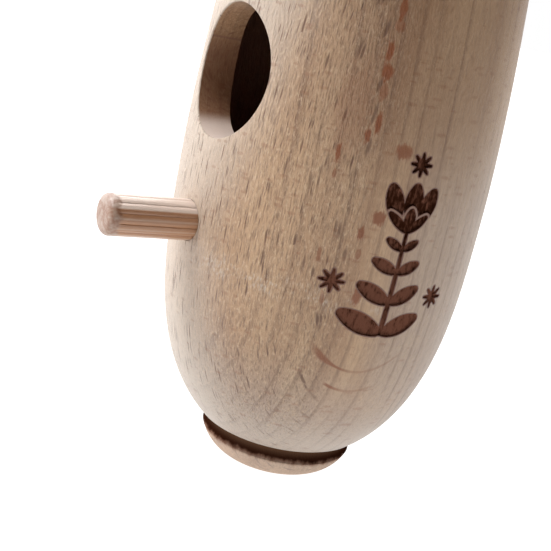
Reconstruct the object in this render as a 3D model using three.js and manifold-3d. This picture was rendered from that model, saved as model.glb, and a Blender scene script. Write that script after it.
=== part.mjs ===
// A small turned beech birdhouse: an egg-shaped body on a rounded foot, a fluted dowel as its perch, and a
// roof that lifts off by its knob. Millimetres, +Z up. The origin is the centre of the foot's flat underside,
// and the entrance hole faces -Y.

import * as THREE from "three";
import { mergeVertices } from "three/addons/utils/BufferGeometryUtils.js";
import Module from "manifold-3d";

const wasm = await Module();
wasm.setup();

// ---------- driving dimensions ----------

const fitGap = 0.3; // between pieces that are glued or pushed together
const bodySegments = 64; // facets round the body and the roof
const knobSegments = 36;
const perchSegments = 48;

// Body
const bellyRadius = 31.3;
const bellyHeight = 64.4;
const bodyTop = 114;
const lowerReach = 62.3; // from the belly down to where the lower curve would close
const lowerPower = 3.275;
const upperReach = 140.4; // from the belly up to where the upper curve would close
const upperPower = 1.572;
const rimChamfer = 0.6;

// Foot and the burnt groove above it
const footFlatRadius = 8.9;
const footCurveWidth = 8.1; // the foot's side is part of a quarter ellipse this wide
const footCurveHeight = 9.1; // and this high, which the groove cuts short
const footTop = 5.4;
const grooveTop = 9.1;
const grooveRadius = 15.8;

// Bore and entrance hole
const boreRadius = 24;
const boreFloor = 59;
const holeHeight = 80.9;
const holeHalfWidth = 10.9;
const holeHalfHeight = 12.4;

// Perch: a standard fluted dowel
const perchRadius = 4;
const perchLength = 30;
const perchTip = 48.6; // from the body's axis
const perchHeight = 51.7;
const perchAzimuth = THREE.MathUtils.degToRad(-4.6); // drilled a little to the left of the entrance hole
const fluteCount = 12;
const fluteDepth = 0.55;
const perchChamfer = 1.3;

// Roof
const spigotRadius = boreRadius - fitGap;
const spigotLength = 10;
const eavesRadius = 36;
const eavesThickness = 4;
const roofRise = 35; // from its underside to the knob's seat
const roofBell = 0.5; // 0 is a straight slope, and more makes it steeper towards the top
const roofSeatRadius = 6.5;

// Knob
const knobRadius = 7;
const knobNeckRadius = 4.4;
const knobNeckHeight = 2.2;
const tenonRadius = 4;
const tenonLength = 12;

// Engraved flower
const engravingDepth = 0.4;
const flowerAzimuth = THREE.MathUtils.degToRad(78.4);
const sideScale = { left: 1.1, right: 0.9 }; // the flower leans a little to its left
const leafSlenderness = 0.21; // half a leaf's width over its length
const leafPairs = [
  { base: 40.6, reach: 8.5, rise: 3.7 },
  { base: 46.7, reach: 6.4, rise: 3.4 },
  { base: 52.6, reach: 4.9, rise: 2.3 },
  { base: 57.0, reach: 3.3, rise: 2.0 },
];
const stem = { bottom: 40.2, top: 61, halfWidthBelow: 0.55, halfWidthAbove: 0.32 };
const cup = { base: 60.4, reach: 4, rise: 3.4, halfWidth: 0.85, middleRise: 4.5, middleHalfWidth: 1.15 };
const tulip = { base: 62.2, inner: 2.2, reach: 4.5, rise: 6.7, halfWidth: 1.7, middleRise: 7.3, middleHalfWidth: 1.85 };
const cupGap = 0.5; // plain wood left between the cup and the petals above it
const starRay = 0.3; // half the width of a ray; each star has eight
const stars = [
  { across: -0.5, up: 72.8, radius: 2.2 },
  { across: -11.5, up: 49.7, radius: 2.5 },
  { across: 10.1, up: 48.2, radius: 2.4 },
];

// ---------- materials ----------

function wood(name, color) {
  return new THREE.MeshStandardMaterial({ name, color, roughness: 0.7, metalness: 0 });
}

const materials = {
  body: wood("beech_body", 0xc4ab92),
  perch: wood("beech_dowel", 0xcfae93),
  roof: wood("beech_roof", 0xbfa388),
  knob: wood("beech_knob", 0xc4ab92),
};

// ---------- shaping helpers ----------

// Makes a manifold solid of a closed geometry, leaving out the triangles that close to nothing at an axis.
function toSolid(geometry) {
  const bare = geometry.clone();
  bare.deleteAttribute("normal");
  bare.deleteAttribute("uv");
  const merged = mergeVertices(bare, 1e-4);
  const triangles = [];
  for (let i = 0; i < merged.index.count; i += 3) {
    const [a, b, c] = [0, 1, 2].map((corner) => merged.index.getX(i + corner));
    if (a !== b && b !== c && c !== a) {
      triangles.push(a, b, c);
    }
  }
  return new wasm.Manifold(
    new wasm.Mesh({
      numProp: 3,
      vertProperties: new Float32Array(merged.attributes.position.array),
      triVerts: new Uint32Array(triangles),
    }),
  );
}

function toGeometry(solid) {
  const mesh = solid.getMesh();
  const geometry = new THREE.BufferGeometry();
  geometry.setAttribute("position", new THREE.BufferAttribute(mesh.vertProperties, 3));
  geometry.setIndex(new THREE.BufferAttribute(mesh.triVerts, 1));
  geometry.computeVertexNormals();
  return geometry;
}

// Turns an outline of [radius, height] points, from the axis at the bottom to the axis at the top, about Z.
function turned(outline, segments = bodySegments) {
  const points = outline.map(([radius, height]) => new THREE.Vector2(radius, height));
  return new THREE.LatheGeometry(points, segments).rotateX(Math.PI / 2);
}

// Stands a shape up on a cylinder's side: its X runs to the right and its Y up, as seen from outside at azimuth.
function faceOutward(geometry, azimuth, height) {
  return geometry.rotateX(Math.PI / 2).rotateZ(azimuth).translate(0, 0, height);
}

function prism(shape, from, to, curveSegments) {
  const settings = { depth: to - from, bevelEnabled: false, curveSegments };
  return new THREE.ExtrudeGeometry(shape, settings).translate(0, 0, from);
}

// Part of an ellipse as outline points, from one angle to another, counted from the outward direction upwards.
function arc(centre, radii, startAngle, endAngle, steps) {
  const points = [];
  for (let i = 0; i <= steps; i += 1) {
    const angle = startAngle + ((endAngle - startAngle) * i) / steps;
    points.push([centre[0] + radii[0] * Math.cos(angle), centre[1] + radii[1] * Math.sin(angle)]);
  }
  return points;
}

// ---------- body ----------

function bodyRadiusAt(height) {
  const below = height < bellyHeight;
  const reach = below ? lowerReach : upperReach;
  const power = below ? lowerPower : upperPower;
  const share = Math.abs(height - bellyHeight) / reach;
  return bellyRadius * Math.sqrt(1 - share ** power);
}

// The turned outline, from the foot's underside to the top rim, taken in by inset all over.
function bodyOutline(inset) {
  const footCentre = [footFlatRadius, footCurveHeight];
  const footRadii = [footCurveWidth - inset, footCurveHeight - inset];
  const footEnd = Math.asin(footTop / footCurveHeight - 1);
  const outline = [
    [0, inset],
    ...arc(footCentre, footRadii, -Math.PI / 2, footEnd, 6),
    [grooveRadius - inset, footTop + 0.9],
    [grooveRadius - inset, grooveTop - 0.6],
  ];
  const heights = [0, 1.5, 3.5, 6, 9, 13, 18, 25, 35, 52, 70, 86, bodyTop - grooveTop - rimChamfer];
  for (const above of heights) {
    outline.push([bodyRadiusAt(grooveTop + above) - inset, grooveTop + above]);
  }
  outline.push([bodyRadiusAt(bodyTop) - rimChamfer - inset, bodyTop]);
  outline.push([0, bodyTop]);
  return outline;
}

function makeBody() {
  const bore = toSolid(
    turned([
      [0, boreFloor],
      [boreRadius, boreFloor],
      [boreRadius, bodyTop - rimChamfer],
      [boreRadius + rimChamfer * 2, bodyTop + rimChamfer],
      [0, bodyTop + rimChamfer],
    ]),
  );
  const holeShape = new THREE.Shape().absellipse(0, 0, holeHalfWidth, holeHalfHeight, 0, Math.PI * 2);
  const hole = toSolid(faceOutward(prism(holeShape, 12, bellyRadius + 2, 18), 0, holeHeight));
  const perchHoleShape = new THREE.Shape().absarc(0, 0, perchRadius + fitGap, 0, Math.PI * 2);
  const perchHoleStart = perchTip - perchLength - fitGap;
  const perchHole = toSolid(
    faceOutward(prism(perchHoleShape, perchHoleStart, bellyRadius + 2, 12), perchAzimuth, perchHeight),
  );
  return toSolid(turned(bodyOutline(0)))
    .subtract(bore)
    .subtract(hole)
    .subtract(perchHole)
    .subtract(makeEngraving());
}

// ---------- engraving ----------

// A leaf or petal: two equal arcs from its base to its tip.
function almond(base, tip, halfWidth) {
  const [dx, dy] = [tip[0] - base[0], tip[1] - base[1]];
  const length = Math.hypot(dx, dy);
  const radius = (length ** 2 / 4 + halfWidth ** 2) / (2 * halfWidth);
  const sweep = 2 * Math.asin(length / 2 / radius);
  const along = Math.atan2(dy, dx);
  const shape = new THREE.Shape();
  for (const side of [1, -1]) {
    const centreAcross = (halfWidth - radius) * side;
    const centreX = (base[0] + tip[0]) / 2 - Math.sin(along) * centreAcross;
    const centreY = (base[1] + tip[1]) / 2 + Math.cos(along) * centreAcross;
    const middle = along + (Math.PI / 2) * side;
    shape.absarc(centreX, centreY, radius, middle + sweep / 2, middle - sweep / 2, true);
  }
  return shape;
}

// A straight bar about its centre, which can narrow towards its end.
function bar(length, startHalfWidth, endHalfWidth, angle, centre) {
  const corners = [
    [-length / 2, -startHalfWidth],
    [length / 2, -endHalfWidth],
    [length / 2, endHalfWidth],
    [-length / 2, startHalfWidth],
  ];
  const points = corners.map(([x, y]) => new THREE.Vector2(x, y).rotateAround(new THREE.Vector2(), angle));
  return new THREE.Shape(points.map((point) => point.add(new THREE.Vector2(...centre))));
}

function union(shapes) {
  const prisms = shapes.map((shape) => toSolid(prism(shape, bellyRadius - 9, bellyRadius + 2, 4)));
  return prisms.reduce((joined, next) => joined.add(next));
}

// Three almonds that fan out from one base: the middle one stands upright.
function fan(part, grow) {
  const sides = Object.entries(sideScale).map(([side, scale]) => {
    const across = (side === "left" ? -1 : 1) * scale;
    const foot = [across * (part.inner ?? 0), part.base - grow];
    const tip = [across * (part.reach + grow), part.base + part.rise + grow];
    return almond(foot, tip, part.halfWidth + grow);
  });
  const middle = almond(
    [0, part.base - grow],
    [0, part.base + part.middleRise + grow * 1.5],
    part.middleHalfWidth + grow,
  );
  return union([...sides, middle]);
}

function makeEngraving() {
  const leaves = leafPairs.flatMap(({ base, reach, rise }) =>
    [-sideScale.left, sideScale.right].map((across) =>
      almond([0, base], [across * reach, base + rise], Math.hypot(reach, rise) * leafSlenderness),
    ),
  );
  const stemLength = stem.top - stem.bottom;
  const stemMiddle = [0, (stem.top + stem.bottom) / 2];
  const stemShape = bar(stemLength, stem.halfWidthBelow, stem.halfWidthAbove, Math.PI / 2, stemMiddle);
  const rays = stars.flatMap(({ across, up, radius }) =>
    [0, 1, 2, 3].map((turn) => bar(radius * 2, starRay, starRay, (turn * Math.PI) / 4, [across, up])),
  );
  const petals = fan(tulip, 0).subtract(fan(cup, cupGap));
  const flat = union([stemShape, ...leaves, ...rays]).add(petals).add(fan(cup, 0));
  const cutters = toSolid(faceOutward(toGeometry(flat), flowerAzimuth, 0));
  return cutters.subtract(toSolid(turned(bodyOutline(engravingDepth))));
}

// ---------- perch ----------

// The dowel's section: flutes pressed in round it as shallow scallops.
function flutedSection() {
  const pointsPerFlute = 6;
  const points = [];
  for (let i = 0; i < fluteCount * pointsPerFlute; i += 1) {
    const angle = (i / pointsPerFlute / fluteCount) * Math.PI * 2;
    const scallop = Math.max(0, Math.cos(angle * fluteCount)) ** 0.8;
    const radius = perchRadius - fluteDepth * scallop;
    points.push(new THREE.Vector2(radius * Math.cos(angle), radius * Math.sin(angle)));
  }
  return new THREE.Shape(points);
}

function makePerch() {
  const fluted = toSolid(prism(flutedSection(), 0, perchLength, 1));
  const blunt = perchRadius - perchChamfer;
  const chamfered = toSolid(
    turned([
      [0, 0],
      [blunt, 0],
      [perchRadius, perchChamfer],
      [perchRadius, perchLength - perchChamfer],
      [blunt, perchLength],
      [0, perchLength],
    ], perchSegments),
  );
  return fluted.intersect(chamfered);
}

// ---------- roof and knob ----------

const roofUnderside = bodyTop + fitGap;
const roofSeat = roofUnderside + roofRise;

// A bell-shaped roof: rounded eaves, a slope that steepens towards the top, and a flat seat for the knob.
function makeRoof() {
  const eaves = arc(
    [eavesRadius - eavesThickness / 2, roofUnderside + eavesThickness / 2],
    [eavesThickness / 2, eavesThickness / 2],
    -Math.PI / 2,
    Math.PI / 3,
    5,
  );
  const slopeStart = eaves.at(-1);
  const slope = [];
  for (const share of [0.2, 0.4, 0.6, 0.8, 1]) {
    const radius = THREE.MathUtils.lerp(slopeStart[0], roofSeatRadius, share);
    const height = THREE.MathUtils.lerp(slopeStart[1], roofSeat, (1 - roofBell) * share + roofBell * share ** 2);
    slope.push([radius, height]);
  }
  const blank = toSolid(
    turned([
      [0, roofUnderside - spigotLength],
      [spigotRadius - 1, roofUnderside - spigotLength],
      [spigotRadius, roofUnderside - spigotLength + 1],
      [spigotRadius, roofUnderside],
      ...eaves,
      ...slope,
      [0, roofSeat],
    ]),
  );
  const socketFloor = roofSeat - tenonLength - fitGap;
  const socket = toSolid(
    turned([
      [0, socketFloor],
      [tenonRadius + fitGap, socketFloor],
      [tenonRadius + fitGap, roofSeat + 1],
      [0, roofSeat + 1],
    ], knobSegments),
  );
  return blank.subtract(socket);
}

// The knob stands on the roof's seat: its own origin is where its neck meets that seat.
function makeKnob() {
  const ballCentre = knobNeckHeight + Math.sqrt(knobRadius ** 2 - knobNeckRadius ** 2);
  const ballStart = -Math.acos(knobNeckRadius / knobRadius);
  return turned([
    [0, -tenonLength],
    [tenonRadius - 0.6, -tenonLength],
    [tenonRadius, 0.6 - tenonLength],
    [tenonRadius, 0],
    [knobNeckRadius + 0.8, 0],
    ...arc([0, ballCentre], [knobRadius, knobRadius], ballStart, Math.PI / 2, 10),
  ], knobSegments);
}

// ---------- assembly ----------

function named(name, geometry) {
  const mesh = new THREE.Mesh(geometry, materials[name]);
  mesh.name = name;
  return mesh;
}

const birdhouse = new THREE.Group();
birdhouse.name = "turned_birdhouse";

const body = named("body", toGeometry(makeBody()));

const perch = named("perch", toGeometry(makePerch()));
perch.rotation.set(Math.PI / 2, 0, perchAzimuth, "ZYX");
perch.position.set(
  Math.sin(perchAzimuth) * (perchTip - perchLength),
  -Math.cos(perchAzimuth) * (perchTip - perchLength),
  perchHeight,
);

const roof = named("roof", toGeometry(makeRoof()));

const knob = named("knob", toGeometry(toSolid(makeKnob())));
knob.position.z = roofSeat + fitGap;

birdhouse.add(body, perch, roof, knob);

export default birdhouse;
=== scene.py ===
"""A small turned beech birdhouse on a pale floor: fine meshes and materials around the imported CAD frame.

Shapes are worked out in millimetres, in the CAD frame, and become metres when a mesh is made.
"""

import math

import bpy
import numpy as np
from mathutils import Matrix, Vector


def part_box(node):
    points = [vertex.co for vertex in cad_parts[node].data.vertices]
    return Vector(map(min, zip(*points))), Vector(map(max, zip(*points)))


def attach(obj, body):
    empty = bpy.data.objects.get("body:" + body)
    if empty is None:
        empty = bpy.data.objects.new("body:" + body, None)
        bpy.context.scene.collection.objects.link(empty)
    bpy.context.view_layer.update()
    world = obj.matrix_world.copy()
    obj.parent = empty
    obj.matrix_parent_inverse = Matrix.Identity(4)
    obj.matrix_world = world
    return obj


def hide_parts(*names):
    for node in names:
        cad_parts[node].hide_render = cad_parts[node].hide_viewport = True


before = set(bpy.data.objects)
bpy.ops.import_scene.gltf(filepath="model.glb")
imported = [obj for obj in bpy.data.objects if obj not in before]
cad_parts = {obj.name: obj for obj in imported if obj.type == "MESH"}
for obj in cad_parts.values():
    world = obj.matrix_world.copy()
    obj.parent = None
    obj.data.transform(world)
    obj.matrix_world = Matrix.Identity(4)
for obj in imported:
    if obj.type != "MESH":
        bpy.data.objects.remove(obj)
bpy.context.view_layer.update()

MM = 0.001


def box_mm(node):
    """A CAD node's lowest and highest corners, in millimetres."""
    low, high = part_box(node)
    return [value / MM for value in low], [value / MM for value in high]


# ---------- sizes, in millimetres ----------

body_high = box_mm("body")[1]
roof_low, roof_high = box_mm("roof")
perch_low, perch_high = box_mm("perch")

# Body: the curve of its side, as in the CAD
BELLY_RADIUS = body_high[0]
BODY_TOP = body_high[2]
BELLY_HEIGHT = 64.4
LOWER_REACH, LOWER_POWER = 62.3, 3.275
UPPER_REACH, UPPER_POWER = 140.4, 1.572

# Foot and the burnt groove
FOOT_FLAT_RADIUS = 8.9
FOOT_CURVE_WIDTH = 8.1  # the foot's side is part of a quarter ellipse, which the groove cuts short
FOOT_CURVE_HEIGHT = 9.1
FOOT_TOP = 5.4
GROOVE_RADIUS = 15.8
GROOVE_TOP = 9.1

# Bore and entrance hole
BORE_RADIUS = 24.0
BORE_FLOOR = 59.0
HOLE_HEIGHT = 80.9
HOLE_HALF_WIDTH = 10.9
HOLE_HALF_HEIGHT = 12.4
LIP = 0.35
SCRATCH_HEIGHT = 86.0  # a thin line round the hole's wall

# Perch
PERCH_RADIUS = 4.0
PERCH_HEIGHT = (perch_low[2] + perch_high[2]) / 2
PERCH_AZIMUTH = math.radians(-4.6)
PERCH_TIP = 48.6
PERCH_LENGTH = 30.0
PERCH_HOLE_RADIUS = 4.08
PERCH_HOLE_SPARE = 0.3  # how much deeper the hole is than the dowel
PERCH_END_RADIUS = 1.4  # of the rounding at each end
PERCH_END_ROUGHNESS = 0.012
FLUTES = 12
FLUTE_TURN = math.radians(20)
FLUTE_HALF_WIDTH = 0.6
FLUTE_DEPTH = 0.13
CREST_HALF_WIDTH = 0.25  # the ridge between two flutes is painted pale, a painted highlight
FLUTE_LINE_HALF_WIDTH = 0.16  # a narrow line along the bottom of each flute
FLUTE_LINE_DEPTH = 0.1
FLUTE_END = 1.2  # the flutes fade out over this length before the rounding of each end
POINTS_PER_FLUTE = 26
PERCH_RINGS = 90

# Engraved flower, in its own plane: across to the right and up, seen from outside
FLOWER_AZIMUTH = math.radians(78.4)
ENGRAVING_DEPTH = 0.4
ENGRAVING_WALL = 0.22
SCORCH_WIDTH = 0.3  # the browned edge round the engraving
POCKET_MIDDLE = 1.3
LEFT_SCALE, RIGHT_SCALE = 1.1, 0.9
LEAF_SLENDERNESS = 0.21
ROUNDING = 0.5  # how much of a leaf's, petal's or ray's half width rounds its tips
LEAF_PAIRS = [(40.6, 8.5, 3.7), (46.7, 6.4, 3.4), (52.6, 4.9, 2.3), (57.0, 3.3, 2.0)]  # base, reach, rise
STEM_BOTTOM, STEM_TOP = 40.2, 61.0
STEM_HALF_WIDTHS = (0.55, 0.32)
CUP_GAP = 0.5
STAR_RAY_HALF_WIDTH = 0.45
STARS = [(-0.2, 72.8, 2.2), (-11.5, 49.7, 2.3), (10.1, 48.2, 2.3)]  # across, up, radius
CUP = {
    "base": 60.4,
    "inner": 0,
    "reach": 4.0,
    "rise": 3.4,
    "half_width": 0.85,
    "middle_rise": 4.5,
    "middle_half_width": 1.15,
}
TULIP = {
    "base": 62.2,
    "inner": 2.2,
    "reach": 4.5,
    "rise": 6.7,
    "half_width": 1.7,
    "middle_rise": 7.3,
    "middle_half_width": 1.85,
}
FAR = 99.0  # stands for the distance to the flower where it is out of reach

# Roof and knob
SPIGOT_RADIUS = 23.7
SPIGOT_LENGTH = 10.0
EAVES_RADIUS = roof_high[0]
EAVES_THICKNESS = 4.0
ROOF_UNDERSIDE = roof_low[2] + SPIGOT_LENGTH
ROOF_SEAT = roof_high[2]
ROOF_SEAT_RADIUS = 6.5
ROOF_BELL = 0.5
KNOB_RADIUS = 7.0
KNOB_NECK_RADIUS = 4.4
KNOB_NECK_HEIGHT = 2.2
KNOB_SEAT = ROOF_SEAT + 0.3
ROOF_SEGMENTS = 160
KNOB_SEGMENTS = 96

# ---------- camera ----------

CAMERA_AZIMUTH = math.radians(49.54)
CAMERA_DISTANCE = 201.3  # from the body's axis
CAMERA_HEIGHT = 96.0
CAMERA_YAW = 0.0357
CAMERA_PITCH = 0.273
CAMERA_ROLL = 0.214
CAMERA_LENS = 64.5


def outward(azimuth):
    """The level direction away from the axis: azimuth 0 faces -Y, and it grows towards +X."""
    return Vector((math.sin(azimuth), -math.cos(azimuth), 0.0))


def make_camera():
    """Looks down at the axis from the front right, with the level tipped to one side."""
    towards = outward(CAMERA_AZIMUTH)
    sideways = Vector((math.cos(CAMERA_AZIMUTH), math.sin(CAMERA_AZIMUTH), 0.0))
    level = -towards * math.cos(CAMERA_YAW) - sideways * math.sin(CAMERA_YAW)
    forward = level * math.cos(CAMERA_PITCH) - Vector((0, 0, 1)) * math.sin(CAMERA_PITCH)
    flat_right = forward.cross(Vector((0, 0, 1))).normalized()
    flat_up = flat_right.cross(forward)
    right = flat_right * math.cos(CAMERA_ROLL) + flat_up * math.sin(CAMERA_ROLL)
    up = flat_up * math.cos(CAMERA_ROLL) - flat_right * math.sin(CAMERA_ROLL)
    data = bpy.data.cameras.new("camera")
    data.lens = CAMERA_LENS
    camera = bpy.data.objects.new("camera", data)
    bpy.context.collection.objects.link(camera)
    turn = Matrix((right, up, -forward)).transposed().to_4x4()
    place = (towards * CAMERA_DISTANCE + Vector((0, 0, CAMERA_HEIGHT))) * MM
    camera.matrix_world = Matrix.Translation(place) @ turn
    data.clip_start = 0.01
    bpy.context.scene.camera = camera


# ---------- mesh helpers ----------


def new_object(name, vertices, faces):
    """A mesh object from millimetre vertices."""
    mesh = bpy.data.meshes.new(name)
    mesh.from_pydata((np.asarray(vertices, dtype=float) * MM).tolist(), [], faces)
    mesh.validate()
    piece = bpy.data.objects.new(name, mesh)
    bpy.context.collection.objects.link(piece)
    return piece


def smooth(piece, sharp_degrees=35):
    mesh = piece.data
    mesh.polygons.foreach_set("use_smooth", [True] * len(mesh.polygons))
    mesh.set_sharp_from_angle(angle=math.radians(sharp_degrees))


def cut(piece, cutter):
    """Takes cutter out of piece, and removes it."""
    modifier = piece.modifiers.new("cut", "BOOLEAN")
    modifier.operation = "DIFFERENCE"
    modifier.solver = "MANIFOLD"
    modifier.object = cutter
    evaluated = piece.evaluated_get(bpy.context.evaluated_depsgraph_get())
    mesh = bpy.data.meshes.new_from_object(evaluated)
    piece.modifiers.clear()
    old = piece.data
    piece.data = mesh
    bpy.data.meshes.remove(old)
    bpy.data.meshes.remove(cutter.data)


def turned(name, outline, segments):
    """Turns [(radius, height), ...] about the axis. The outline starts and ends on the axis."""
    vertices = [(0.0, 0.0, outline[0][1])]
    for radius, height in outline[1:-1]:
        for i in range(segments):
            angle = 2 * math.pi * i / segments
            vertices.append((radius * math.cos(angle), radius * math.sin(angle), height))
    vertices.append((0.0, 0.0, outline[-1][1]))
    faces = []
    rings = len(outline) - 2
    for i in range(segments):
        after = (i + 1) % segments
        faces.append((0, 1 + after, 1 + i))
        for ring in range(rings - 1):
            below, above = 1 + ring * segments, 1 + (ring + 1) * segments
            faces.append((below + i, below + after, above + after, above + i))
        last = 1 + (rings - 1) * segments
        faces.append((last + i, last + after, len(vertices) - 1))
    return new_object(name, vertices, faces)


def arc(centre, radii, start, end, steps):
    """Part of an ellipse as outline points, from one angle to another."""
    angles = np.linspace(start, end, steps + 1)
    return [(centre[0] + radii[0] * math.cos(a), centre[1] + radii[1] * math.sin(a)) for a in angles]


def tube_along_y(name, rings):
    """A closed solid from rings of (x, y, z) points, each ring with the same number of points."""
    count = len(rings[0])
    vertices = [point for ring in rings for point in ring]
    faces = [tuple(range(count))[::-1]]
    for k in range(len(rings) - 1):
        for i in range(count):
            after = (i + 1) % count
            faces.append((k * count + i, k * count + after, (k + 1) * count + after, (k + 1) * count + i))
    faces.append(tuple((len(rings) - 1) * count + i for i in range(count)))
    return new_object(name, vertices, faces)


# ---------- body ----------


def body_radius(height):
    """The body's outer radius at a height, for numbers or arrays."""
    height = np.asarray(height, dtype=float)
    below = height < BELLY_HEIGHT
    reach = np.where(below, LOWER_REACH, UPPER_REACH)
    power = np.where(below, LOWER_POWER, UPPER_POWER)
    share = np.abs(height - BELLY_HEIGHT) / reach
    return BELLY_RADIUS * np.sqrt(1 - share**power)


def almond(x, y, base, tip, half_width):
    """Signed distance to a leaf or petal: two equal arcs from base to tip, with rounded tips."""
    dx, dy = tip[0] - base[0], tip[1] - base[1]
    length = math.hypot(dx, dy)
    rounding = half_width * ROUNDING
    half = length / 2 - rounding
    half_width = half_width - rounding
    offset = (half * half - half_width * half_width) / (2 * half_width)
    cx, cy = x - (base[0] + tip[0]) / 2, y - (base[1] + tip[1]) / 2
    along = np.abs(cx * dx + cy * dy) / length
    across = np.abs(cx * dy - cy * dx) / length
    to_tip = np.hypot(across, along - half)
    to_side = np.hypot(across + offset, along) - (offset + half_width)
    return np.where(half * across < offset * (along - half), to_tip, to_side) - rounding


def stem(x, y):
    """Signed distance, near enough, to the upright stem, which narrows towards its top."""
    length = STEM_TOP - STEM_BOTTOM
    along = y - (STEM_BOTTOM + STEM_TOP) / 2
    share = np.clip(along / length + 0.5, 0, 1)
    low_half_width, high_half_width = STEM_HALF_WIDTHS
    half_width = low_half_width + (high_half_width - low_half_width) * share
    return np.maximum(np.abs(along) - length / 2, np.abs(x) - half_width)


def fan(x, y, base, inner, reach, rise, half_width, middle_rise, middle_half_width):
    """Signed distance to three almonds that fan out from one base, the middle one upright."""
    distance = almond(x, y, (0, base), (0, base + middle_rise), middle_half_width)
    for across in (-LEFT_SCALE, RIGHT_SCALE):
        side = almond(x, y, (across * inner, base), (across * reach, base + rise), half_width)
        distance = np.minimum(distance, side)
    return distance


def flower_distance(x, y):
    """Signed distance to the engraved flower's outline, negative inside it."""
    distance = stem(x, y)
    for base, reach, rise in LEAF_PAIRS:
        half_width = math.hypot(reach, rise) * LEAF_SLENDERNESS
        for across in (-LEFT_SCALE, RIGHT_SCALE):
            leaf = almond(x, y, (0, base), (across * reach, base + rise), half_width)
            distance = np.minimum(distance, leaf)
    for across, up, radius in STARS:
        for turn in range(4):
            dx, dy = radius * math.cos(turn * math.pi / 4), radius * math.sin(turn * math.pi / 4)
            ends = (across - dx, up - dy), (across + dx, up + dy)
            distance = np.minimum(distance, almond(x, y, *ends, STAR_RAY_HALF_WIDTH))
    cup = fan(x, y, **CUP)
    petals = np.maximum(fan(x, y, **TULIP), CUP_GAP - cup)
    return np.minimum(np.minimum(distance, cup), petals)


def flower_distance_at(azimuth, height, radius):
    """The same, for places on the body. Places round the back are far from the flower."""
    turn = azimuth - FLOWER_AZIMUTH
    distance = flower_distance(radius * np.sin(turn), height)
    return np.where(np.cos(turn) > 0.5, distance, FAR)


COLUMNS = 76  # coarse cells round the body
LEVELS = 5  # each level halves a cell
FINE = 2**LEVELS
ROWS = 40  # coarse cells up the body's side
SIDE_BOTTOM = GROOVE_TOP
RIM_CHAMFER = 0.6
SIDE_TOP = BODY_TOP - RIM_CHAMFER
TIGHT_CURVE = 14  # the lowest stretch of the side, which curves most, has cells of half the size


def foot_outline():
    """From the underside up to the groove's top edge, just below the body's side."""
    outline = [(FOOT_FLAT_RADIUS * share, 0.0) for share in (0.33, 0.66)]
    end = math.asin(FOOT_TOP / FOOT_CURVE_HEIGHT - 1)
    centre = (FOOT_FLAT_RADIUS, FOOT_CURVE_HEIGHT)
    outline += arc(centre, (FOOT_CURVE_WIDTH, FOOT_CURVE_HEIGHT), -math.pi / 2, end, 20)
    outline += [
        (GROOVE_RADIUS + 0.35, FOOT_TOP + 0.25),
        (GROOVE_RADIUS + 0.05, FOOT_TOP + 0.9),
        (GROOVE_RADIUS, GROOVE_TOP - 1.6),
        (GROOVE_RADIUS, GROOVE_TOP - 0.9),
        (GROOVE_RADIUS + 0.15, GROOVE_TOP - 0.45),
        (GROOVE_RADIUS + 0.8, GROOVE_TOP - 0.15),
    ]
    return outline


def rim_outline():
    """From the top rim's chamfer, over the rim and down the bore to its floor."""
    outline = [(float(body_radius(BODY_TOP)) - RIM_CHAMFER, BODY_TOP)]
    outline += [(BORE_RADIUS + RIM_CHAMFER, BODY_TOP)]
    outline += [(BORE_RADIUS, BODY_TOP - height) for height in (0.6, 14, 28, 42)]
    outline += [(BORE_RADIUS, BORE_FLOOR + 0.2), (BORE_RADIUS - 0.2, BORE_FLOOR)]
    outline += [(BORE_RADIUS * share, BORE_FLOOR) for share in (0.66, 0.33)]
    return outline


def split_cells():
    """Cells (column, row, size) over the body's side, in fine steps, small along the flower's outline."""
    columns, rows = np.meshgrid(np.arange(COLUMNS) * FINE, np.arange(ROWS) * FINE)
    cells = np.stack([columns.ravel(), rows.ravel()], axis=1)
    row_height = (SIDE_TOP - SIDE_BOTTOM) / (ROWS * FINE)
    done = []
    size = FINE
    while size >= 1:
        middle = cells + size / 2
        azimuth = middle[:, 0] / (COLUMNS * FINE) * 2 * math.pi
        height = SIDE_BOTTOM + middle[:, 1] * row_height
        distance = np.abs(flower_distance_at(azimuth, height, body_radius(height)))
        near = distance < ENGRAVING_WALL + size * row_height * 0.75
        curved = (height < SIDE_BOTTOM + TIGHT_CURVE) & (size > FINE / 2)
        split = (near | curved) & (size > 1)
        done += [(int(i), int(j), size) for i, j in cells[~split]]
        half = size // 2
        cells = np.concatenate([cells[split] + (a, b) for a in (0, half) for b in (0, half)])
        size = half
    return done


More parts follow.
